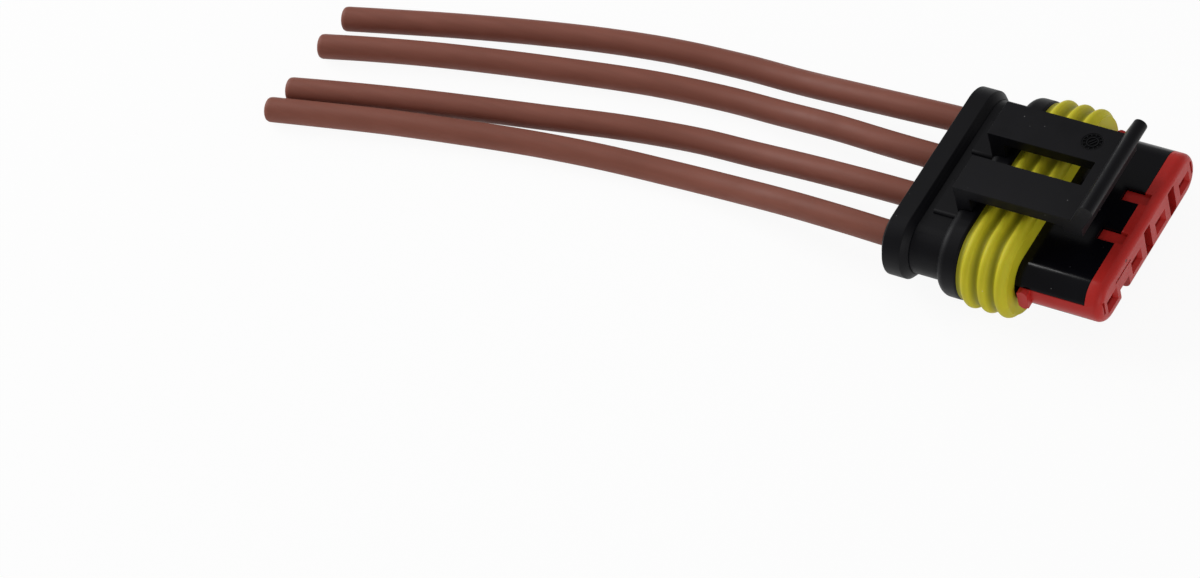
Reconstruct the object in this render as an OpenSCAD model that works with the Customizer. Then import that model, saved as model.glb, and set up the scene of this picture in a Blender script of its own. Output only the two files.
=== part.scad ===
// Plug half of a four-way sealed automotive connector, with its leads.
// +X is the mating direction, +Y runs along the row of contacts, +Z is up.
// The origin is under the middle of the connector, on the surface it lies on.

/* [Row of contacts] */
// Distance between neighbouring contacts
pitch = 6; // [5.8:0.1:6.2]

/* [Rear body] */
// X of the rear face of the flange
flange_x = -13.4; // [-13.5:0.05:-13.2]
// Thickness of the flange
flange_t = 3.7; // [3.4:0.1:3.9]
// Distance from the outermost contact to the side of the flange
flange_side = 4.25; // [4:0.05:4.6]
// Half height of the flange
flange_half_h = 4.15; // [4.1:0.05:4.5]
// Radius of the rear rim of the flange
flange_rear_edge = 2; // [1.2:0.1:2.2]
// Radius of the front rim of the flange
flange_front_edge = 1.1; // [0.6:0.1:1.4]
// Radius of the outermost cavity tubes
tube_r = 3.4; // [3.2:0.05:3.6]

/* [Collar] */
// X of the rear face of the collar
collar_x = -5.95; // [-6.1:0.05:-5.8]
// Thickness of the collar
collar_t = 2.8; // [2.6:0.1:3]
// Distance from the outermost contact to the side of the collar
collar_side = 4.75; // [4.3:0.05:4.9]
// Half height of the collar
collar_half_h = 4.95; // [4.6:0.05:5]
// Radius of the rear rim of the collar
collar_rear_edge = 1.2; // [0.5:0.1:1.3]
// Radius of the front rim of the collar
collar_front_edge = 0.4; // [0.2:0.1:0.8]

/* [Nose] */
// X of the front face of the nose
nose_x = 11.5; // [11.3:0.05:11.6]
// Distance from the outermost contact to the side of the nose
nose_side = 3; // [2.8:0.05:3.2]
// Half height of the nose
nose_half_h = 2.7; // [2.6:0.05:2.8]

/* [Interface seal] */
// Distance from the outermost contact to the crest of the ribs
seal_side = 5.3; // [5.1:0.05:5.5]
// Half height over the ribs
seal_half_h = 5.25; // [5.1:0.05:5.3]
// Depth of the grooves between the ribs
rib_depth = 0.6; // [0.4:0.05:0.8]
// Distance between neighbouring ribs
rib_pitch = 2.05; // [1.9:0.05:2.15]

/* [Secondary lock] */
// Thickness of the front plate
plate_t = 1.9; // [1.7:0.05:2.2]
// Radius of the front edge of the plate
plate_edge = 0.9; // [0.4:0.1:1.4]
// Width of the tall slots between the contacts
slot_w = 1.45; // [1:0.05:1.6]
// Height of the tall slots
slot_h = 3.7; // [3:0.1:4]
// Width of the keyway in the bottom edge
key_w = 2.15; // [1.6:0.05:2.3]
// Height of the keyway
key_h = 2; // [1.4:0.1:2.2]

/* [Latch] */
// Height of the top of the latch over the axes of the contacts
latch_rise = 8.25; // [8.05:0.05:8.55]
// Thickness of the rails
rail_t = 1.4; // [1.2:0.1:1.5]
// Half width of the latch
latch_half_w = 6.7; // [6.4:0.1:7]
// Half width of the window between the rails
window_half_w = 1.75; // [1.5:0.05:2]
// X of the front end of the window
window_x = 7.25; // [6.9:0.05:7.4]
// Thickness of the legs at the rear of the rails
leg_t = 1.8; // [1.6:0.1:2]
// How far the thumb tab leans forward, in degrees
tab_lean = 30; // [25:1:35]
// Thickness of the thumb tab
tab_t = 1.6; // [1.4:0.1:1.8]
// Length of the thumb tab
tab_len = 3.15; // [2.8:0.05:3.3]

/* [Leads] */
// Diameter of the insulation
lead_d = 3; // [2.6:0.1:3.1]
// Diameter of the stranded conductor
core_d = 1.5; // [1.2:0.1:1.6]

/* [Hidden] */
$fn = 64;

// Y of contact number 1 to 4, from the far end of the row to the near end
function contact_y(number) = (2.5 - number) * pitch;

black = [0.1, 0.1, 0.11];
latch_black = [0.14, 0.14, 0.15];
yellow = [0.84, 0.78, 0.24];
red = [0.77, 0.24, 0.22];
orange = [0.85, 0.47, 0.16];
tin = [0.72, 0.72, 0.7];
copper = [0.78, 0.45, 0.3];
brown = [0.5, 0.31, 0.28];

overlap = 0.5;
eps = 0.02;
gap = 0.08;

// The connector lies on the ribs of its interface seal
axis_h = seal_half_h;
row_half = 1.5 * pitch;
flange_half_w = row_half + flange_side;
collar_half_w = row_half + collar_side;
nose_half_w = row_half + nose_side;
seal_half_w = row_half + seal_side;
latch_top = axis_h + latch_rise;

flange_front = flange_x + flange_t;
collar_front = collar_x + collar_t;

// Interface seal: crests and grooves of one radius, which meet at half the depth
seal_rear_lip = 1.2;
seal_front_lip = 0.95;
seal_len = seal_rear_lip + 2 * rib_pitch + seal_front_lip;
seal_front = collar_front + seal_len;
wave_r = (rib_pitch * rib_pitch / 4 + rib_depth * rib_depth) / (4 * rib_depth);

// Raised pads on the rear body, behind the legs of the latch
pad_rise = 3.8;
pad_top = axis_h + pad_rise;
pad_in = 2.1;
pad_out = 7.2;
pad_edge = 0.4;
pad_groove = 0.9;
pad_rear = flange_front + pad_groove;

// Rear bores, for the wire seals, and the contact cavities in front of them
bore_r = 2.45;
bore_depth = 1.3;
bore_front = collar_x + bore_depth;
bore_lead_in = 0.35;
cavity_half_w = 1.35;
cavity_h = 3.3;
cavity_drop = 2.05;
cavity_z = axis_h - cavity_drop;

// Slots in the nose for the two fingers of the lock
finger_w = 1.6;
finger_len = 2.15;
finger_h = 0.8;
finger_sink = 0.35;
notch_len = 0.9;

// Clearance between the plate and the nose, and the side arms, in recesses in its ends
plate_gap = 0.05;
arm_t = 0.8;
arm_half_h = 1.05;
arm_drop = 0.1;
arm_z = axis_h - arm_drop;
arm_gap = 0.65;
arm_rear = seal_front + arm_gap;
hook_len = 1.2;
hook_out = 0.65;
hook_half_h = 1.3;

// Sockets, tall slots and end slits of the front plate
socket_drop = 0.45;
socket_z = axis_h - socket_drop;
socket_w = 1.8;
socket_h = 1.2;
funnel_w = 2.4;
funnel_h = 1.8;
funnel_depth = 0.5;
slot_drop = 0.2;
slot_z = axis_h - slot_drop;
slot_depth = 4;
slit_w = 0.35;
slit_h = 1.8;
slit_inset = 1.1;
slit_y = nose_half_w - slit_inset;
slit_rise = 0.25;
slit_z = axis_h + slit_rise;
slit_depth = 0.5;
step_len = 3.7;
step_w = 0.22;
step_depth = 0.3;
step_rise = 0.95;
step_z = axis_h + step_rise;
key_shift = 0.1;
key_y = -pitch - key_shift;

// Latch, with the round roots of its legs in pockets in the collar
leg_inset = 0.05;
leg_x = collar_x + leg_inset;
root_r = leg_t / 2;
root_x = leg_x + root_r;
pocket_drop = 0.8;
pocket_z = pad_top - pocket_drop;
root_z = pocket_z + root_r + eps;
bar_t = 2.3;
bar_front = 9.55;
tab_inset = 0.64;
tab_x = bar_front - tab_inset;
tab_overhang = 0.15;
tab_half_w = latch_half_w + tab_overhang;
dial_x = 5.6;
dial_y = 4.4;
dial_r = 1.25;
dial_depth = 0.12;

// Wire seals
seal_inset = 0.5;
seal_rear = flange_x + seal_inset;
wire_seal_len = 6;
neck_len = 1.9;
neck_r = 1.95;
wire_rib_depth = 0.3;
wire_rib_w = 0.9;
wire_rib_edge = 0.3;
wire_rib_pitch = 1.35;
wire_lip = 0.2;

// Contacts
box_w = 2.4;
box_h = 2.6;
box_wall = 0.3;
box_len = 9.85;
box_inset = 0.65;
box_front = nose_x - box_inset;
box_rear = box_front - box_len;
box_gap = 0.1;
box_z = cavity_z + box_gap;
grip_wall = 0.25;
grip_rear = seal_rear + wire_seal_len - neck_len;
grip_over = 0.4;
grip_front = grip_rear + neck_len + grip_over;
joggle_len = 0.6;
joggle_x = grip_front + joggle_len;
strip_gap = 0.35;
strip_x = bore_front - strip_gap;
strip_len = 0.6;
crimp_rear = strip_x + strip_len;
crimp_len = 3.2;
crimp_front = crimp_rear + crimp_len;
strand_out = 0.4;

// Routes of the four leads, from the crimp to the bare end
lead_z = lead_d / 2;
route_1 = [[strip_x, contact_y(1), axis_h], [-13, contact_y(1), axis_h], [-20, 9, 4.9],
    [-28, 9.6, 3.7], [-36, 10.5, 2.2], [-44, 11, lead_z], [-53, 10.5, lead_z], [-62, 9.3, lead_z],
    [-71, 7.6, lead_z], [-80, 5.6, lead_z], [-88, 3.6, lead_z], [-94.2, 2, lead_z]];
route_2 = [[strip_x, contact_y(2), axis_h], [-13, contact_y(2), axis_h], [-20, 3.3, 4.9],
    [-28, 4.4, 3.7], [-36, 5.4, 2.2], [-44, 5.8, lead_z], [-53, 5.1, lead_z], [-62, 3.8, lead_z],
    [-71, 2.3, lead_z], [-80, 0.6, lead_z], [-88, -1.2, lead_z], [-94.6, -2.9, lead_z]];
route_3 = [[strip_x, contact_y(3), axis_h], [-13, contact_y(3), axis_h], [-20, -2.8, 4.9],
    [-28, -2.1, 3.7], [-36, -1.3, 2.2], [-44, -1.1, lead_z], [-53, -2.2, lead_z], [-62, -3.8, lead_z],
    [-71, -5.4, lead_z], [-80, -7.1, lead_z], [-88, -8.8, lead_z], [-94.5, -10.3, lead_z]];
route_4 = [[strip_x, contact_y(4), axis_h], [-13, contact_y(4), axis_h], [-20, -8.6, 4.9],
    [-28, -7.7, 3.7], [-36, -6.8, 2.2], [-44, -6.6, lead_z], [-53, -7.1, lead_z], [-62, -8, lead_z],
    [-71, -9.3, lead_z], [-80, -10.8, lead_z], [-88, -12.4, lead_z], [-95.2, -13.9, lead_z]];

// Half profile of a round disc, with its own radius on the rear and the front rim
module disc_profile(r, t, rear_edge, front_edge) {
    square([r - max(rear_edge, front_edge), t]);
    translate([0, rear_edge]) square([r, t - rear_edge - front_edge]);
    square([r - rear_edge, t / 2]);
    translate([0, t / 2]) square([r - front_edge, t / 2]);
    translate([r - rear_edge, rear_edge]) circle(rear_edge);
    translate([r - front_edge, t - front_edge]) circle(front_edge);
}

// Half profile of the interface seal, for rotate_extrude
module wave_profile() {
    difference() {
        union() {
            square([seal_half_h - rib_depth / 2, seal_len]);
            for (i = [0:2]) translate([seal_half_h - wave_r, seal_rear_lip + i * rib_pitch])
                circle(wave_r);
        }
        for (i = [0:3])
            translate([seal_half_h - rib_depth + wave_r, seal_rear_lip + (i - 0.5) * rib_pitch])
                circle(wave_r);
    }
}

// Straight-sided plate with round ends, whose half profile is the child
module pill(x, half_w, half_h) {
    for (side = [-1, 1])
        translate([x, side * (half_w - half_h), axis_h]) rotate([0, 90, 0])
            rotate_extrude() children();
    translate([x, 0, axis_h]) rotate([90, 0, 0])
        linear_extrude(2 * (half_w - half_h), center = true)
            for (flip = [0, 1]) mirror([0, flip]) rotate(-90) mirror([1, 0]) children();
}

// Plate with round ends and sharp rims
module flat_pill(x, t, half_w, half_h) {
    for (side = [-1, 1])
        translate([x, side * (half_w - half_h), axis_h]) rotate([0, 90, 0])
            cylinder(h = t, r = half_h);
    translate([x, half_h - half_w, axis_h - half_h])
        cube([t, 2 * (half_w - half_h), 2 * half_h]);
}

// Cylinder along X
module rod(x, t, r) {
    translate([x, 0, 0]) rotate([0, 90, 0]) cylinder(h = t, r = r);
}

module rear_bore(number) {
    translate([0, contact_y(number), axis_h]) {
        rod(flange_x - overlap, bore_front - flange_x + overlap, bore_r);
        translate([flange_x - eps, 0, 0]) rotate([0, 90, 0])
            cylinder(h = bore_lead_in, r1 = bore_r + bore_lead_in, r2 = bore_r);
    }
}

module cavity(number) {
    translate([bore_front - overlap, contact_y(number) - cavity_half_w, cavity_z])
        cube([nose_x - bore_front + 2 * overlap, 2 * cavity_half_w, cavity_h]);
}

module arm_recess(side) {
    translate([arm_rear - hook_len, side > 0 ? nose_half_w - arm_t - eps : -nose_half_w - overlap,
            arm_z - arm_half_h - gap])
        cube([nose_x - arm_rear + hook_len + overlap, arm_t + overlap + eps,
            2 * (arm_half_h + gap)]);
}

// Raised pad with rounded shoulders, up to the collar
module pad() {
    translate([pad_rear, 0, 0]) rotate([90, 0, 90])
        linear_extrude(collar_x - pad_rear + overlap) {
            translate([pad_in, axis_h]) square([pad_out - pad_in, pad_rise - pad_edge]);
            translate([pad_in + pad_edge, axis_h]) square([pad_out - pad_in - 2 * pad_edge, pad_rise]);
            for (y = [pad_in + pad_edge, pad_out - pad_edge])
                translate([y, pad_top - pad_edge]) circle(pad_edge);
        }
}

module finger_slot(y) {
    translate([nose_x - finger_len - gap, y - finger_w / 2 - gap,
            axis_h + nose_half_h - finger_sink - finger_h - gap])
        cube([finger_len + gap + overlap, finger_w + 2 * gap,
            finger_sink + finger_h + gap + overlap]);
}

module tall_slot(y, x, depth) {
    translate([x - depth, y - slot_w / 2, slot_z - slot_h / 2]) cube([depth + overlap, slot_w, slot_h]);
}

module keyway(x, depth) {
    translate([x - depth, key_y - key_w / 2, axis_h - nose_half_h - overlap])
        cube([depth + overlap, key_w, key_h + overlap]);
}

module housing() {
    color(black) difference() {
        union() {
            pill(flange_x, flange_half_w, flange_half_h)
                disc_profile(flange_half_h, flange_t, flange_rear_edge, flange_front_edge);
            flat_pill(flange_front - overlap, collar_x - flange_front + 2 * overlap,
                row_half + tube_r, tube_r);
            for (side = [0, 1]) mirror([0, side, 0]) pad();
            pill(collar_x, collar_half_w, collar_half_h)
                disc_profile(collar_half_h, collar_t, collar_rear_edge, collar_front_edge);
            flat_pill(collar_front - overlap, nose_x - collar_front + overlap,
                nose_half_w, nose_half_h);
        }
        for (number = [1:4]) {
            rear_bore(number);
            cavity(number);
        }
        for (side = [-1, 1]) {
            arm_recess(side);
            finger_slot(side * pitch / 2);
        }
        for (y = [0, pitch]) tall_slot(y, nose_x, slot_depth);
        keyway(nose_x, nose_x - seal_front);
        for (side = [-1, 1])
            translate([leg_x - gap, (side > 0 ? window_half_w : -latch_half_w) - gap, pocket_z])
                cube([leg_t + 2 * gap, latch_half_w - window_half_w + 2 * gap, latch_top]);
    }
}

module interface_seal() {
    color(yellow) difference() {
        pill(collar_front, seal_half_w, seal_half_h) wave_profile();
        flat_pill(collar_front - overlap, seal_len + 2 * overlap, nose_half_w, nose_half_h);
    }
}

module socket(number) {
    translate([nose_x, contact_y(number), socket_z]) {
        translate([-overlap, -socket_w / 2, -socket_h / 2])
            cube([plate_t + 2 * overlap, socket_w, socket_h]);
        translate([plate_t - funnel_depth, 0, 0]) funnel();
    }
}

// Lead-in that widens from the socket to the face of the plate
module funnel() {
    slope_w = (funnel_w - socket_w) / 2;
    slope_h = (funnel_h - socket_h) / 2;
    intersection() {
        rotate([90, 0, 0]) linear_extrude(2 * funnel_w, center = true)
            polygon([[0, -socket_h / 2], [funnel_depth, -socket_h / 2 - slope_h],
                [2 * funnel_depth, -socket_h / 2 - slope_h], [2 * funnel_depth, socket_h / 2 + slope_h],
                [funnel_depth, socket_h / 2 + slope_h], [0, socket_h / 2]]);
        linear_extrude(2 * funnel_h, center = true)
            polygon([[0, -socket_w / 2], [funnel_depth, -socket_w / 2 - slope_w],
                [2 * funnel_depth, -socket_w / 2 - slope_w], [2 * funnel_depth, socket_w / 2 + slope_w],
                [funnel_depth, socket_w / 2 + slope_w], [0, socket_w / 2]]);
    }
}

module lock_arm(side) {
    intersection() {
        flat_pill(arm_rear - hook_len, nose_x - arm_rear + hook_len + overlap, nose_half_w, nose_half_h);
        translate([arm_rear, side > 0 ? nose_half_w - arm_t : -nose_half_w, arm_z - arm_half_h])
            cube([nose_x - arm_rear + overlap, arm_t, 2 * arm_half_h]);
    }
    translate([arm_rear + hook_len / 2, side * (nose_half_w + (hook_out - arm_t) / 2), arm_z])
        cube([hook_len, hook_out + arm_t, 2 * arm_half_h], center = true);
    translate([arm_rear + hook_len / 2, side * (nose_half_w + (hook_out + eps) / 2), arm_z])
        rotate([90, 0, 0]) linear_extrude(hook_out - eps, center = true) {
            square([hook_len, 2 * hook_half_h - hook_len], center = true);
            for (up = [-1, 1]) translate([0, up * (hook_half_h - hook_len / 2)]) circle(hook_len / 2);
        }
}

module secondary_lock() {
    color(red) {
        difference() {
            union() {
                intersection() {
                    pill(nose_x - plate_edge, nose_half_w, nose_half_h)
                        disc_profile(nose_half_h, plate_t + plate_edge, plate_edge, plate_edge);
                    translate([nose_x + plate_gap, -2 * nose_half_w, 0])
                        cube([plate_t + overlap, 4 * nose_half_w, 2 * axis_h]);
                }
                for (side = [-1, 1]) {
                    lock_arm(side);
                    translate([nose_x - finger_len, side * pitch / 2 - finger_w / 2,
                            axis_h + nose_half_h - finger_sink - finger_h])
                        cube([finger_len + plate_gap + overlap, finger_w, finger_h]);
                }
            }
            for (number = [1:4]) socket(number);
            for (side = [-1, 1])
                translate([nose_x, side * pitch / 2 - finger_w / 2, axis_h + nose_half_h - finger_sink])
                    cube([notch_len, finger_w, finger_sink + overlap]);
            for (y = [0, pitch]) tall_slot(y, nose_x + plate_t, plate_t + overlap);
            for (side = [-1, 1])
                translate([nose_x + plate_t - slit_depth, side * slit_y - slit_w / 2,
                        slit_z - slit_h / 2])
                    cube([slit_depth + overlap, slit_w, slit_h]);
            keyway(nose_x + plate_t, plate_t + overlap);
            translate([nose_x + plate_t - step_depth, -pitch - step_len / 2, step_z])
                cube([step_depth + overlap, step_len, step_w]);
        }
    }
}

module latch() {
    color(latch_black) difference() {
        union() {
            translate([collar_x, -latch_half_w, latch_top - rail_t])
                cube([bar_front - collar_x, 2 * latch_half_w, rail_t]);
            translate([window_x, -latch_half_w, latch_top - bar_t])
                cube([bar_front - window_x, 2 * latch_half_w, bar_t]);
            for (side = [-1, 1]) translate([0, side > 0 ? window_half_w : -latch_half_w, 0]) leg();
            translate([tab_x, 0, latch_top - rail_t / 2]) rotate([0, tab_lean, 0])
                rotate([90, 0, 0]) linear_extrude(2 * tab_half_w, center = true) {
                    translate([-tab_t / 2, 0]) square([tab_t, tab_len]);
                    translate([0, tab_len]) circle(tab_t / 2);
                }
        }
        translate([collar_x - overlap, -window_half_w, 0])
            cube([window_x - collar_x + overlap, 2 * window_half_w, 2 * latch_top]);
        translate([dial_x, dial_y, latch_top - dial_depth]) cylinder(h = overlap, r = dial_r);
    }
}

// Leg under the rear end of a rail, with a round root in its pocket
module leg() {
    width = latch_half_w - window_half_w;
    translate([leg_x, 0, root_z]) cube([leg_t, width, latch_top - rail_t / 2 - root_z]);
    translate([root_x, width / 2, root_z]) rotate([90, 0, 0])
        cylinder(h = width, r = root_r, center = true);
}

module wire_seal(number) {
    color(orange) translate([0, contact_y(number), axis_h]) difference() {
        union() {
            rod(seal_rear, wire_seal_len - neck_len, bore_r - wire_rib_depth);
            rod(seal_rear + wire_seal_len - neck_len - eps, neck_len + eps, neck_r);
            for (i = [0:2])
                translate([seal_rear + wire_lip + wire_rib_pitch * i, 0, 0]) rotate([0, 90, 0])
                    rotate_extrude() disc_profile(bore_r, wire_rib_w, wire_rib_edge, wire_rib_edge);
        }
        rod(seal_rear - overlap, wire_seal_len + 2 * overlap, lead_d / 2);
    }
}

module contact(number) {
    color(tin) translate([0, contact_y(number), 0]) difference() {
        union() {
            translate([box_rear, -box_w / 2, box_z]) cube([box_front - box_rear, box_w, box_h]);
            translate([joggle_x - overlap, -core_d / 2, box_z])
                cube([box_rear - joggle_x + 2 * overlap, core_d, box_wall]);
            translate([grip_front - grip_wall, -core_d / 2, axis_h - neck_r - grip_wall])
                cube([joggle_x - grip_front + grip_wall, core_d, 2 * grip_wall]);
            translate([crimp_rear, -core_d / 2, box_z])
                cube([crimp_front - crimp_rear, core_d, axis_h - box_z]);
            translate([0, 0, axis_h]) {
                rod(crimp_rear, crimp_front - crimp_rear, core_d / 2 + box_wall);
                rod(grip_rear, grip_front - grip_rear, neck_r + grip_wall);
            }
        }
        translate([box_rear + box_wall, box_wall - box_w / 2, box_z + box_wall])
            cube([box_front - box_rear, box_w - 2 * box_wall, box_h - 2 * box_wall]);
        translate([0, 0, axis_h]) {
            rod(crimp_rear - overlap, crimp_front - crimp_rear + 2 * overlap, core_d / 2);
            rod(grip_rear - overlap, grip_front - grip_rear - grip_wall + overlap, neck_r);
            rod(grip_rear, joggle_x - grip_rear, lead_d / 2 + gap);
        }
    }
}

module conductor(number) {
    color(copper) translate([0, contact_y(number), axis_h])
        rod(strip_x, crimp_front + strand_out - strip_x, core_d / 2);
}

// Smooth curve through four points, at u from 0 to 1 between the middle two
function spline(a, b, c, d, u) =
    b + (c - a) * u / 2 + (2 * a - 5 * b + 4 * c - d) * u * u / 2 + (3 * b - a - 3 * c + d) * u * u * u / 2;

function clamp_at(route, i) = route[max(0, min(len(route) - 1, i))];

// Ring centres: the route itself, with one more point in the middle of each bend
function centres(route) = [
    for (i = [0:len(route) - 2])
        for (u = i < 1 || i > 4 ? [0] : [0, 0.5])
            spline(clamp_at(route, i - 1), route[i], route[i + 1], clamp_at(route, i + 2), u),
    route[len(route) - 1]];

function unit(v) = v / norm(v);

// Points of one ring of the tube, square to the path
function ring(c, direction, r, sides) =
    let (across = unit(cross([0, 0, 1], direction)), up = cross(direction, across))
    [for (k = [0:sides - 1]) c + r * (cos(360 * (k + 0.5) / sides) * across
        + sin(360 * (k + 0.5) / sides) * up)];

// Plain tube swept along a route
module tube(route, d, sides) {
    path = centres(route);
    last = len(path) - 1;
    points = [for (i = [0:last]) each ring(path[i],
        unit(path[min(last, i + 1)] - path[max(0, i - 1)]), d / 2, sides)];
    faces = [
        [for (k = [0:sides - 1]) k],
        for (i = [0:last - 1]) for (k = [0:sides - 1])
            let (a = i * sides + k, b = i * sides + (k + 1) % sides) [a, a + sides, b + sides, b],
        [for (k = [sides - 1:-1:0]) last * sides + k]];
    polyhedron(points, faces);
}

module lead(route) {
    color(brown) tube(route, lead_d, 8);
}

housing();
latch();
interface_seal();
secondary_lock();
wire_seal(1);  // wire_seal_1
wire_seal(2);  // wire_seal_2
wire_seal(3);  // wire_seal_3
wire_seal(4);  // wire_seal_4
contact(1);  // contact_1
contact(2);  // contact_2
contact(3);  // contact_3
contact(4);  // contact_4
conductor(1);  // conductor_1
conductor(2);  // conductor_2
conductor(3);  // conductor_3
conductor(4);  // conductor_4
lead(route_1);  // lead_1
lead(route_2);  // lead_2
lead(route_3);  // lead_3
lead(route_4);  // lead_4
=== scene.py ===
"""Looks, leads and light for the plug half of a four-way sealed automotive connector."""
import math

import bmesh
import bpy
from mathutils import Matrix, Quaternion, Vector


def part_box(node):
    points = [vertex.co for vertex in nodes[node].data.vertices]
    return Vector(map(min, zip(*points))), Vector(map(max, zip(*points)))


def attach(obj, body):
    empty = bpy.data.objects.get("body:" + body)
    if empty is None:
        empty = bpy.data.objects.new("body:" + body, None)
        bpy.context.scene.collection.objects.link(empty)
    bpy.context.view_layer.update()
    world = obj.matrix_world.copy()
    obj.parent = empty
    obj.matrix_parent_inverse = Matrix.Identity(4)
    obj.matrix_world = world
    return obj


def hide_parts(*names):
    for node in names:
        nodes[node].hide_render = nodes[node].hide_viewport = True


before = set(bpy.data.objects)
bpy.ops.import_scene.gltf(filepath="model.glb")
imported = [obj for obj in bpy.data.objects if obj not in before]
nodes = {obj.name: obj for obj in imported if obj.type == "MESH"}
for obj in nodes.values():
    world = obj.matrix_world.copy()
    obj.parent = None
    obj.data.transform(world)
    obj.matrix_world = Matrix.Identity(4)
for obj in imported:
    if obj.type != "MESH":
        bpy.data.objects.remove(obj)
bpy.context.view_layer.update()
scene = bpy.context.scene
MM = 0.001

# ------------------------------------------------------------------ sizes of the solids
# Sizes are in mm, unless they are times MM: then they are in metres, as Blender's are
# Height of the contacts' axes, and the distance between them
AXIS_H = 5.25
PITCH = 6
# Y at which the flange's round ends begin
FLANGE_ROUND_Y = 9.1
NOSE_HALF_W = 12
NOSE_HALF_H = 2.7
LATCH_TOP = 13.5
# The seal's ribs: the first crest from its rear face, and the distance between crests
FIRST_CREST = 1.2
RIB_PITCH = 2.05
LEAD_D = 3.0

# ------------------------------------------------------------------ camera
AZIMUTH = math.radians(41.95)
ELEVATION = math.radians(46.96)
ROLL = math.radians(-16.44)
TARGET = Vector((-41.0, -27.2, 5.0)) * MM
DISTANCE = 554 * MM

back = Vector((
    math.sin(AZIMUTH) * math.cos(ELEVATION),
    -math.cos(AZIMUTH) * math.cos(ELEVATION),
    math.sin(ELEVATION),
))
camera_data = bpy.data.cameras.new("camera")
camera_data.lens = 150
camera_data.sensor_width = 36
camera_data.clip_start = 0.01
camera_data.clip_end = 20
camera = bpy.data.objects.new("camera", camera_data)
camera.location = TARGET + back * DISTANCE
camera.rotation_mode = "QUATERNION"
camera.rotation_quaternion = (-back).to_track_quat("-Z", "Y") @ Quaternion((0, 0, 1), ROLL)
scene.collection.objects.link(camera)
scene.camera = camera


# ------------------------------------------------------------------ materials
class Look:
    """A procedural material: a shader with its constants on its own sockets, and the nodes that vary it."""

    def __init__(self, name, **constants):
        self.material = bpy.data.materials.new(name)
        self.material.use_nodes = True
        tree = self.material.node_tree
        self.nodes, self.links = tree.nodes, tree.links
        self.shader = self.nodes["Principled BSDF"]
        for socket, value in constants.items():
            self.shader.inputs[socket.replace("_", " ")].default_value = value
        self.normal = None
        self.place = self.nodes.new("ShaderNodeTexCoord").outputs["Object"]

    def feed(self, value, socket):
        """Links a socket, or sets a number or colour."""
        if isinstance(value, bpy.types.NodeSocket):
            self.links.new(value, socket)
        else:
            socket.default_value = value

    def stretched(self, scale):
        mapping = self.nodes.new("ShaderNodeMapping")
        mapping.inputs["Scale"].default_value = scale
        self.links.new(self.place, mapping.inputs["Vector"])
        return mapping.outputs["Vector"]

    def noise(self, size, detail=3.0, rough=0.55, stretch=None):
        """Noise whose blobs are about size metres across, from 0 to 1."""
        node = self.nodes.new("ShaderNodeTexNoise")
        node.inputs["Scale"].default_value = 1 / size
        node.inputs["Detail"].default_value = detail
        node.inputs["Roughness"].default_value = rough
        self.links.new(self.stretched(stretch) if stretch else self.place, node.inputs["Vector"])
        return node.outputs["Fac"]

    def specks(self, spacing, size):
        """1 in sparse round specks of dust, 0 between them."""
        node = self.nodes.new("ShaderNodeTexVoronoi")
        node.inputs["Scale"].default_value = 1 / spacing
        self.links.new(self.place, node.inputs["Vector"])
        return self.grey(node.outputs["Distance"], 1, 0, 0.5 * size / spacing, size / spacing)

    def along_x(self):
        """The X coordinate in metres."""
        node = self.nodes.new("ShaderNodeSeparateXYZ")
        self.links.new(self.place, node.inputs["Vector"])
        return node.outputs["X"]

    def distance_from(self, point):
        node = self.nodes.new("ShaderNodeVectorMath")
        node.operation = "DISTANCE"
        self.links.new(self.place, node.inputs[0])
        node.inputs[1].default_value = point
        return node.outputs["Value"]

    def ramp(self, value, low, high, dark, light):
        """Dark below low, light above high, and a blend between."""
        node = self.nodes.new("ShaderNodeValToRGB")
        for element, position, colour in zip(node.color_ramp.elements, (low, high), (dark, light)):
            element.position = position
            element.color = (*colour, 1)
        self.links.new(value, node.inputs["Fac"])
        return node.outputs["Color"]

    def grey(self, value, low, high, start=0.3, end=0.7):
        """A value spread over low to high."""
        node = self.nodes.new("ShaderNodeMapRange")
        node.inputs["From Min"].default_value = start
        node.inputs["From Max"].default_value = end
        node.inputs["To Min"].default_value = low
        node.inputs["To Max"].default_value = high
        self.links.new(value, node.inputs["Value"])
        return node.outputs["Result"]

    def math(self, kind, a, b=0.0):
        node = self.nodes.new("ShaderNodeMath")
        node.operation = kind
        self.feed(a, node.inputs[0])
        self.feed(b, node.inputs[1])
        return node.outputs["Value"]

    def mix(self, factor, a, b):
        node = self.nodes.new("ShaderNodeMix")
        node.data_type = "RGBA"
        colours = [socket for socket in node.inputs if socket.type == "RGBA"]
        for value, socket in zip((factor, a, b), (node.inputs["Factor"], *colours)):
            self.feed(value, socket)
        return next(socket for socket in node.outputs if socket.type == "RGBA")

    def colour(self, value):
        self.links.new(value, self.shader.inputs["Base Color"])

    def roughness(self, value):
        self.links.new(value, self.shader.inputs["Roughness"])

    def bump(self, value, depth, strength=1.0):
        """Raises the surface by up to depth metres where value is 1."""
        node = self.nodes.new("ShaderNodeBump")
        node.inputs["Strength"].default_value = strength
        node.inputs["Distance"].default_value = depth
        self.links.new(value, node.inputs["Height"])
        if self.normal:
            self.links.new(self.normal, node.inputs["Normal"])
        self.normal = node.outputs["Normal"]
        self.links.new(self.normal, self.shader.inputs["Normal"])


def moulded(name, dark, light, gloss, grain, dust, **constants):
    """Moulded plastic: a slow drift of colour, a patchy gloss, a fine grain and a few specks of dust."""
    look = Look(name, **constants)
    body = look.ramp(look.noise(6 * MM, 4), 0.3, 0.72, dark, light)
    dusty = look.grey(look.noise(3 * MM, 2), 0, 1, 0.48, 0.56)
    specks = look.math("MULTIPLY", look.specks(1.7 * MM, 0.08 * MM), dusty)
    look.base = look.mix(specks, body, (*dust, 1))
    look.colour(look.base)
    look.patches = look.noise(2.5 * MM, 5, 0.65)
    look.gloss = look.grey(look.patches, *gloss)
    look.roughness(look.gloss)
    look.bump(look.noise(0.12 * MM, 3, 0.6), grain)
    look.bump(look.noise(1.6 * MM, 2), 3 * grain, 0.5)
    return look


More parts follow.
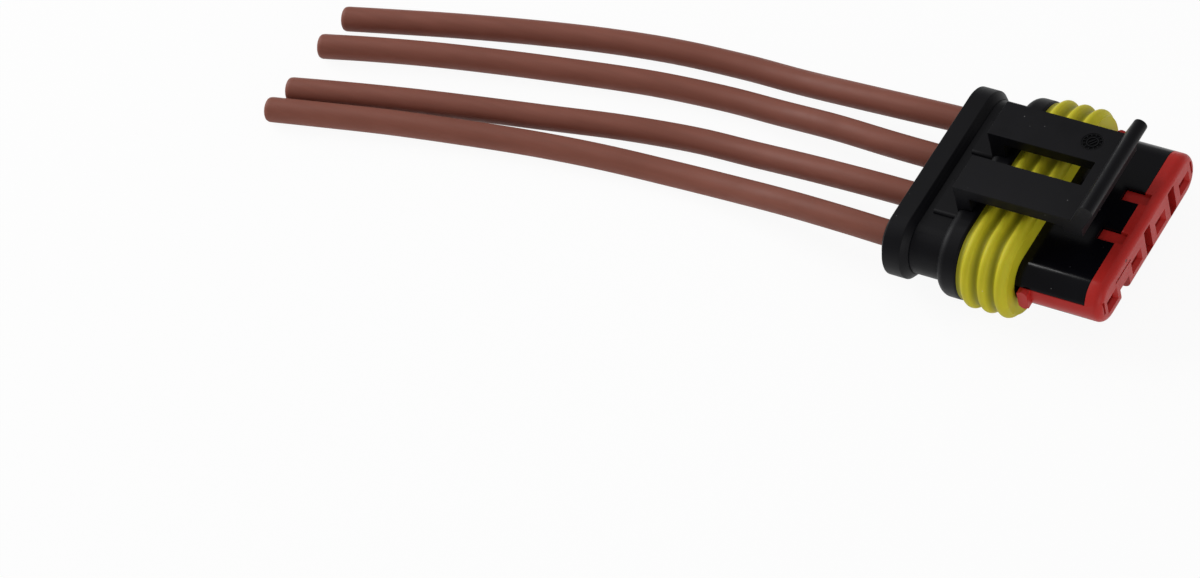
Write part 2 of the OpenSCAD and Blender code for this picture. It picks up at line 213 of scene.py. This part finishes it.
def housing_plastic():
    """Satin black; the nose, in front of the interface seal, is polished."""
    look = moulded("housing_plastic", (0.0016, 0.0015, 0.0026), (0.0028, 0.0027, 0.0044),
        (0.42, 0.54), 0.0012 * MM, (0.12, 0.12, 0.12), IOR=1.25)
    nose_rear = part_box("interface_seal")[1][0]
    nose = look.grey(look.along_x(), 0, 1, nose_rear - 0.5 * MM, nose_rear)
    look.roughness(look.mix(nose, look.gloss, look.grey(look.patches, 0.15, 0.22)))
    return look


def latch_plastic():
    return moulded("latch_plastic", (0.003, 0.0029, 0.0042), (0.0045, 0.0044, 0.0062),
        (0.34, 0.54), 0.003 * MM, (0.16, 0.16, 0.16), IOR=1.25)


def dial_polish():
    return moulded("dial_polish", (0.001, 0.001, 0.0015), (0.002, 0.002, 0.003),
        (0.14, 0.2), 0.001 * MM, (0.1, 0.1, 0.1), IOR=1.18)


def lock_plastic():
    """Satin red, with the round mark of the mould's gate on its front face."""
    look = moulded("lock_plastic", (0.46, 0.018, 0.015), (0.53, 0.027, 0.022), (0.3, 0.42),
        0.002 * MM, (0.6, 0.2, 0.18), IOR=1.29, Subsurface_Weight=0.06, Subsurface_Scale=0.6 * MM)
    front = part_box("secondary_lock")[1][0]
    away = look.distance_from((front, -5.05 * MM, 7.05 * MM))
    mark = look.grey(away, 1, 0, 0.14 * MM, 0.24 * MM)
    look.colour(look.mix(mark, look.base, (0.16, 0.006, 0.005, 1)))
    look.bump(look.math("SUBTRACT", 1.0, mark), 0.05 * MM)
    return look


def wire_seal_rubber():
    return moulded("wire_seal_rubber", (0.58, 0.16, 0.02), (0.7, 0.22, 0.03),
        (0.34, 0.5), 0.003 * MM, (0.75, 0.45, 0.3), IOR=1.42)


def interface_seal_rubber():
    """Yellow silicone, with painted shade in the grooves between its three ribs: a darker, more saturated
    yellow there.
    """
    look = Look("interface_seal_rubber", IOR=1.32, Subsurface_Weight=0.08, Subsurface_Scale=0.6 * MM)
    first_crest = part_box("interface_seal")[0][0] + FIRST_CREST * MM
    last_crest = first_crest + 2 * RIB_PITCH * MM
    x = look.along_x()
    # Painted shade: a cosine along X marks the grooves, darkest midway between crests, and the mask fades
    # out just past the last crest
    phase = look.math("MULTIPLY", look.math("SUBTRACT", x, first_crest), 2 * math.pi / (RIB_PITCH * MM))
    groove_shade_mask = look.grey(look.math("COSINE", phase), 1, 0, -1, 0.25)
    groove_shade_mask = look.math("MULTIPLY", groove_shade_mask, look.grey(x, 1, 0, last_crest, last_crest + 0.2 * MM))
    patchy = look.ramp(look.noise(3 * MM, 4), 0.3, 0.7, (0.58, 0.515, 0.016), (0.65, 0.58, 0.023))
    # The grooves are painted a darker, more saturated yellow, as shade
    shaded_groove_colour = look.mix(groove_shade_mask, patchy, (0.3, 0.275, 0.005, 1))
    look.colour(look.mix(look.specks(2.2 * MM, 0.08 * MM), shaded_groove_colour, (0.7, 0.66, 0.3, 1)))
    look.roughness(look.grey(look.noise(1.5 * MM, 5, 0.65), 0.48, 0.62))
    look.bump(look.noise(0.14 * MM, 3, 0.6), 0.003 * MM)
    look.bump(look.noise(1.2 * MM, 2, stretch=(2, 1, 1)), 0.012 * MM, 0.5)
    return look


def lead_insulation():
    """Brown insulation, with the faint streaks along it that extrusion leaves."""
    look = Look("lead_insulation", IOR=1.32, Subsurface_Weight=0.04, Subsurface_Scale=0.4 * MM)
    drawn = look.noise(0.7 * MM, 3, 0.5, stretch=(0.06, 1, 1))
    streaks = look.mix(0.5, look.noise(9 * MM, 3), drawn)
    look.colour(look.ramp(streaks, 0.3, 0.7, (0.215, 0.069, 0.046), (0.265, 0.089, 0.061)))
    look.roughness(look.grey(look.noise(3 * MM, 4), 0.46, 0.6))
    look.bump(drawn, 0.012 * MM, 0.6)
    return look


def metal(name, patch, dark, light, scuff, gloss):
    """Bare or plated metal, stained in patches and scuffed."""
    look = Look(name, Metallic=1.0, IOR=1.5)
    look.colour(look.ramp(look.noise(patch, 4), 0.3, 0.7, dark, light))
    look.roughness(look.grey(look.noise(scuff, 4), *gloss))
    return look


housing_look = housing_plastic()
latch_look = latch_plastic()
dial_look = dial_polish()
lead_look = lead_insulation()
copper_look = metal("conductor_metal", 0.8 * MM, (0.62, 0.24, 0.12), (0.82, 0.4, 0.22),
    0.4 * MM, (0.25, 0.5))
tin_look = metal("contact_metal", 1.5 * MM, (0.5, 0.5, 0.48), (0.66, 0.66, 0.64), 0.6 * MM, (0.28, 0.48))
LOOKS = {
    "housing": housing_look,
    "latch": latch_look,
    "interface_seal": interface_seal_rubber(),
    "secondary_lock": lock_plastic(),
    "wire_seal": wire_seal_rubber(),
    "contact": tin_look,
    "conductor": copper_look,
    "lead": lead_look,
}


def dress(obj, look):
    obj.data.materials.clear()
    obj.data.materials.append(look.material)


for name, obj in nodes.items():
    dress(obj, LOOKS[name.rstrip("_1234")])


def new_mesh(name, bm, look, body, smooth=True):
    """Makes a visible piece that rides on a body."""
    mesh = bpy.data.meshes.new(name)
    bm.normal_update()
    bm.to_mesh(mesh)
    bm.free()
    obj = bpy.data.objects.new(name, mesh)
    scene.collection.objects.link(obj)
    for polygon in mesh.polygons:
        polygon.use_smooth = smooth
    dress(obj, look)
    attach(obj, body)
    return obj


def join_rings(bm, rings):
    """Faces between each ring of points and the next."""
    for a, b in zip(rings, rings[1:]):
        for i in range(len(a)):
            k = (i + 1) % len(a)
            bm.faces.new((a[i], a[k], b[k], b[i]))


# ------------------------------------------------------------------ leads
# A lead runs straight from the crimp to here, then comes down and lies on the surface
STRIP_X = -5.0
STRAIGHT_END = -13
EXIT_H = 4.9
SAG_H = 3.7
NEAR_H = 2.2
LIE_H = LEAD_D / 2
ROUTES = {
    1: [(-20, 9, EXIT_H), (-28, 9.6, SAG_H), (-36, 10.5, NEAR_H), (-44, 11, LIE_H), (-53, 10.5, LIE_H),
        (-62, 9.3, LIE_H), (-71, 7.6, LIE_H), (-80, 5.6, LIE_H), (-88, 3.6, LIE_H), (-94.2, 2, LIE_H)],
    2: [(-20, 3.3, EXIT_H), (-28, 4.4, SAG_H), (-36, 5.4, NEAR_H), (-44, 5.8, LIE_H), (-53, 5.1, LIE_H),
        (-62, 3.8, LIE_H), (-71, 2.3, LIE_H), (-80, 0.6, LIE_H), (-88, -1.2, LIE_H), (-94.6, -2.9, LIE_H)],
    3: [(-20, -2.8, EXIT_H), (-28, -2.1, SAG_H), (-36, -1.3, NEAR_H), (-44, -1.1, LIE_H),
        (-53, -2.2, LIE_H), (-62, -3.8, LIE_H), (-71, -5.4, LIE_H), (-80, -7.1, LIE_H), (-88, -8.8, LIE_H),
        (-94.5, -10.3, LIE_H)],
    4: [(-20, -8.6, EXIT_H), (-28, -7.7, SAG_H), (-36, -6.8, NEAR_H), (-44, -6.6, LIE_H),
        (-53, -7.1, LIE_H), (-62, -8, LIE_H), (-71, -9.3, LIE_H), (-80, -10.8, LIE_H), (-88, -12.4, LIE_H),
        (-95.2, -13.9, LIE_H)],
}
# The cutter rounds the rim of the insulation: how far from the end, and the share of the radius there
CUT_END = ((0.5, 1), (0.25, 0.97), (0.08, 0.91), (0, 0.83))
# The strands that show there, and how far their middles lie behind the end
WIRE_R = 0.15 * MM
WIRE_SIDES = 10
WIRE_LEN = 1.2 * MM
WIRE_RIM = 0.03 * MM
WIRE_BACK = 0.5 * MM


def smooth_path(route, steps=6):
    """Points in metres along one smooth curve through the route."""
    points = [Vector(p) * MM for p in route]
    last = len(points) - 1
    path = []
    for i in range(last):
        a, b, c, d = (points[max(0, min(last, i + k))] for k in (-1, 0, 1, 2))
        for k in range(steps):
            u = k / steps
            path.append(b + (c - a) * u / 2 + (2 * a - 5 * b + 4 * c - d) * u ** 2 / 2
                + (3 * b - a - 3 * c + d) * u ** 3 / 2)
    path.append(points[-1])
    return path


def strand(bm, place):
    """One strand along Z, with the rims of its ends broken."""
    tip_r = WIRE_R - WIRE_RIM / math.cos(math.pi / WIRE_SIDES)
    half = WIRE_LEN / 2
    turns = [2 * math.pi * k / WIRE_SIDES for k in range(WIRE_SIDES)]
    rings = []
    for r, z in ((tip_r, -half), (WIRE_R, WIRE_RIM - half), (WIRE_R, half - WIRE_RIM), (tip_r, half)):
        ring = [place @ Vector((r * math.sin(a), r * math.cos(a), z)) for a in turns]
        rings.append([bm.verts.new(point) for point in ring])
    join_rings(bm, rings)
    bm.faces.new(rings[0])
    bm.faces.new(rings[-1])


def strands(name, end, direction):
    """The cut end of a conductor: one strand in the middle, and rings of six and twelve round it."""
    bm = bmesh.new()
    turn = Matrix.Translation(end) @ direction.to_track_quat("Z", "Y").to_matrix().to_4x4()
    for ring, count in ((0, 1), (1, 6), (2, 12)):
        for k in range(count):
            angle = 2 * math.pi * (k + 0.5 * ring) / count
            at = Vector((math.cos(angle), math.sin(angle), 0)) * (ring * 2 * WIRE_R)
            strand(bm, turn @ Matrix.Translation(at))
    bmesh.ops.recalc_face_normals(bm, faces=bm.faces)
    return new_mesh(name, bm, copper_look, "shell")


def insulation(number, path, direction):
    """A tube along a path, with the rim of its bare end rounded, in the place of the CAD's lead."""
    name = f"insulation_{number}"
    curve = bpy.data.curves.new(name, "CURVE")
    curve.dimensions = "3D"
    curve.bevel_depth = LEAD_D / 2 * MM
    curve.bevel_resolution = 8
    curve.use_fill_caps = True
    rings = [(at, 1) for at in path[:-1]]
    rings += [(path[-1] - direction * far * MM, share) for far, share in CUT_END]
    spline = curve.splines.new("POLY")
    spline.points.add(len(rings) - 1)
    for point, (at, share) in zip(spline.points, rings):
        point.co = (*at, 1)
        point.radius = share
    obj = bpy.data.objects.new(name, curve)
    scene.collection.objects.link(obj)
    dress(obj, lead_look)
    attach(obj, "shell")
    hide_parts(f"lead_{number}")
    return obj


def lead(number, route):
    y = (2.5 - number) * PITCH
    path = smooth_path([(STRIP_X, y, AXIS_H), (STRAIGHT_END, y, AXIS_H)] + route)
    direction = (path[-1] - path[-2]).normalized()
    tube = insulation(number, path, direction)
    bundle = strands(f"strands_{number}", path[-1] - direction * WIRE_BACK, direction)


for number, route in ROUTES.items():
    lead(number, route)


# ------------------------------------------------------------------ moulded edges
def round_edges(node, width):
    """Breaks the sharp edges of a CAD node, as its mould does."""
    obj = nodes[node]
    weld = obj.modifiers.new("weld", "WELD")
    weld.merge_threshold = 0.002 * MM
    flat = obj.modifiers.new("flat", "DECIMATE")
    flat.decimate_type = "DISSOLVE"
    flat.angle_limit = math.radians(0.5)
    bevel = obj.modifiers.new("bevel", "BEVEL")
    bevel.width = width
    bevel.segments = 3
    bevel.limit_method = "ANGLE"
    bevel.angle_limit = math.radians(30)
    bevel.harden_normals = False
    bevel.miter_outer = "MITER_ARC"
    obj.modifiers.new("normals", "WEIGHTED_NORMAL").keep_sharp = False


round_edges("latch", 0.18 * MM)
round_edges("housing", 0.12 * MM)
round_edges("secondary_lock", 0.08 * MM)

# ------------------------------------------------------------------ flange
# The flange's flat band, with a crisp rim behind and a slope of 45 degrees in front; the solid under it
# is rounded there. X, and heights over the plane of the contacts
BAND_REAR = -12.6
FLAT_END = -10.46
SLOPE_END = -9.66
BAND_TOP = 4.2
BAND_RIM = 0.13
BAND_ROOT = 3.1


def rim_arc(x, height, start, end, steps=3):
    """Points along a rounded rim, from one direction of its normal to another, in degrees from +X."""
    turns = [math.radians(start + (end - start) * k / steps) for k in range(steps + 1)]
    return [(x + BAND_RIM * math.cos(t), height + BAND_RIM * math.sin(t)) for t in turns]


def band_profile():
    rim_height = BAND_TOP - BAND_RIM
    foot_x = SLOPE_END - BAND_RIM
    foot_height = rim_height - (foot_x - FLAT_END)
    rims = (rim_arc(BAND_REAR + BAND_RIM, rim_height, 180, 90) + rim_arc(FLAT_END, rim_height, 90, 45)
        + rim_arc(foot_x, foot_height, 45, 0))
    return [(BAND_REAR, BAND_ROOT), *rims, (SLOPE_END, BAND_ROOT)]


def flange_band(sides=40):
    """A closed ring round the flange, with straight long sides and round ends."""
    half_turn = [math.pi * (k / sides - 0.5) for k in range(sides + 1)]
    ends = [(FLANGE_ROUND_Y, a) for a in half_turn] + [(-FLANGE_ROUND_Y, a + math.pi) for a in half_turn]
    bm = bmesh.new()
    rings = []
    for x, r in band_profile():
        ring = [Vector((x, y + r * math.cos(a), AXIS_H + r * math.sin(a))) for y, a in ends]
        rings.append([bm.verts.new(point * MM) for point in ring])
    join_rings(bm, rings + rings[:1])
    bmesh.ops.recalc_face_normals(bm, faces=bm.faces)
    band = new_mesh("flange_band", bm, housing_look, "shell")
    band.modifiers.new("normals", "WEIGHTED_NORMAL").keep_sharp = False


flange_band()

# ------------------------------------------------------------------ date dial
# The mould's insert leaves a small dial in the round recess of the far rail: on a polished floor two
# rings, twelve ticks and two bars across the middle, with no figures
DIAL_R = 1.22 * MM
DIAL_RELIEF = 0.1 * MM
DIAL_FLOOR = 0.03 * MM
RECESS_XY = (5.6, 4.4)
RECESS_DEPTH = 0.12
# Shares of the dial's radius: how far a tick or a bar is from the middle, its length and its width
TICKS = 12
TICK = (0.78, 0.2, 0.09)
BAR = (0.14, 0.7, 0.1)
BAR_TURN = math.radians(50)
# Shares of the dial's radius: the inner and outer edge of each ring
RINGS = ((0.9, 0.98), (0.48, 0.58))


def dial_floor(centre):
    bm = bmesh.new()
    bmesh.ops.create_cone(bm, cap_ends=True, segments=64, radius1=DIAL_R, radius2=DIAL_R,
        depth=DIAL_FLOOR, matrix=Matrix.Translation(centre))
    new_mesh("dial_floor", bm, dial_look, "latch_arm", smooth=False)


def dial_marks(centre, sides=48):
    bm = bmesh.new()

    def bar(x, y, length, width, angle):
        turn = Matrix.Translation(centre) @ Matrix.Rotation(angle, 4, "Z")
        place = turn @ Matrix.Translation((x * DIAL_R, y * DIAL_R, DIAL_RELIEF / 2))
        size = Matrix.Diagonal((length * DIAL_R, width * DIAL_R, DIAL_RELIEF, 1))
        bmesh.ops.create_cube(bm, size=1, matrix=place @ size)

    away, length, width = TICK
    for k in range(TICKS):
        bar(away, 0, length, width, 2 * math.pi * k / TICKS)
    turns = [2 * math.pi * k / sides for k in range(sides)]
    for inner, outer in RINGS:
        rings = []
        for share, z in ((inner, 0), (inner, DIAL_RELIEF), (outer, DIAL_RELIEF), (outer, 0)):
            ring = [Vector((share * DIAL_R * math.cos(a), share * DIAL_R * math.sin(a), z)) for a in turns]
            rings.append([bm.verts.new(centre + point) for point in ring])
        join_rings(bm, rings + rings[:1])
    away, length, width = BAR
    for y in (away, -away):
        bar(0, y, length, width, BAR_TURN)
    bmesh.ops.recalc_face_normals(bm, faces=bm.faces)
    new_mesh("date_dial", bm, latch_look, "latch_arm", smooth=False)


# The disc's middle is 0.01 mm under the floor of the recess, so that its top stands just over it
dial_centre = Vector((*RECESS_XY, LATCH_TOP - RECESS_DEPTH - 0.01)) * MM
dial_floor(dial_centre)
dial_marks(dial_centre)


# ------------------------------------------------------------------ stage
def paper(glow=0.93):
    """White paper, which glows as well, but only to the camera and in reflections and refractions."""
    material = bpy.data.materials.new("floor")
    material.use_nodes = True
    tree = material.node_tree
    sheet = tree.nodes["Principled BSDF"]
    sheet.inputs["Base Color"].default_value = (0.95, 0.95, 0.95, 1)
    sheet.inputs["Roughness"].default_value = 0.9
    sheet.inputs["Specular IOR Level"].default_value = 0.1
    white = tree.nodes.new("ShaderNodeEmission")
    white.inputs["Color"].default_value = (1, 1, 1, 1)
    white.inputs["Strength"].default_value = 1
    rays = tree.nodes.new("ShaderNodeLightPath")
    seen = rays.outputs["Is Camera Ray"]
    for kind in ("Is Glossy Ray", "Is Transmission Ray"):
        either = tree.nodes.new("ShaderNodeMath")
        either.operation = "MAXIMUM"
        tree.links.new(seen, either.inputs[0])
        tree.links.new(rays.outputs[kind], either.inputs[1])
        seen = either.outputs["Value"]
    share = tree.nodes.new("ShaderNodeMath")
    share.operation = "MULTIPLY"
    share.inputs[1].default_value = glow
    blend = tree.nodes.new("ShaderNodeMixShader")
    tree.links.new(seen, share.inputs[0])
    tree.links.new(share.outputs["Value"], blend.inputs["Fac"])
    tree.links.new(sheet.outputs["BSDF"], blend.inputs[1])
    tree.links.new(white.outputs["Emission"], blend.inputs[2])
    tree.links.new(blend.outputs["Shader"], tree.nodes["Material Output"].inputs["Surface"])
    return material


def floor(size, z):
    """A square sheet of paper, its size and height in metres."""
    bm = bmesh.new()
    place = Matrix.Translation((0, 0, z))
    bmesh.ops.create_grid(bm, x_segments=1, y_segments=1, size=size / 2, matrix=place)
    mesh = bpy.data.meshes.new("floor")
    bm.to_mesh(mesh)
    bm.free()
    obj = bpy.data.objects.new("floor", mesh)
    scene.collection.objects.link(obj)
    obj.data.materials.append(paper())


floor(4, -0.02 * MM)


# ------------------------------------------------------------------ light
def plain_sky(level):
    """A white world: bright to the camera, and at a lower level as light."""
    world = bpy.data.worlds.new("world")
    scene.world = world
    world.use_nodes = True
    tree = world.node_tree
    sky = tree.nodes["Background"]
    sky.inputs["Color"].default_value = (1, 1, 1, 1)
    seen = tree.nodes.new("ShaderNodeLightPath").outputs["Is Camera Ray"]
    strength = tree.nodes.new("ShaderNodeMapRange")
    strength.inputs["To Min"].default_value = level
    strength.inputs["To Max"].default_value = 1
    tree.links.new(seen, strength.inputs["Value"])
    tree.links.new(strength.outputs["Result"], sky.inputs["Strength"])


def lamp(name, at, size, power, aim=(0, 0, 5 * MM)):
    """A round lamp, its place, size and aim in metres and its power in watts."""
    data = bpy.data.lights.new(name, "AREA")
    data.shape = "DISK"
    data.size = size
    data.energy = power
    obj = bpy.data.objects.new(name, data)
    obj.location = at
    obj.rotation_mode = "QUATERNION"
    obj.rotation_quaternion = (Vector(at) - Vector(aim)).to_track_quat("Z", "Y")
    scene.collection.objects.link(obj)


def window(x=4.4, slant=math.radians(7), distance=0.07, size=0.006, power=0.0024):
    """A small lamp where the camera sees it mirrored in the nose's polished edge, as one thin line."""
    outward = Vector((0, -math.sin(slant), math.cos(slant)))
    edge = Vector((x, NOSE_HALF_H - NOSE_HALF_W, AXIS_H)) * MM + outward * NOSE_HALF_H * MM
    sight = (camera.location - edge).normalized()
    mirrored = 2 * outward.dot(sight) * outward - sight
    lamp("window", edge + mirrored * distance, size, power, edge)


plain_sky(0.4)
lamp("side", (-0.54, 0.04, 0.3), 0.4, 2.1)
lamp("front", (0.5, -0.24, 0.12), 0.4, 0.7)
window()
scene.view_settings.view_transform = "Standard"
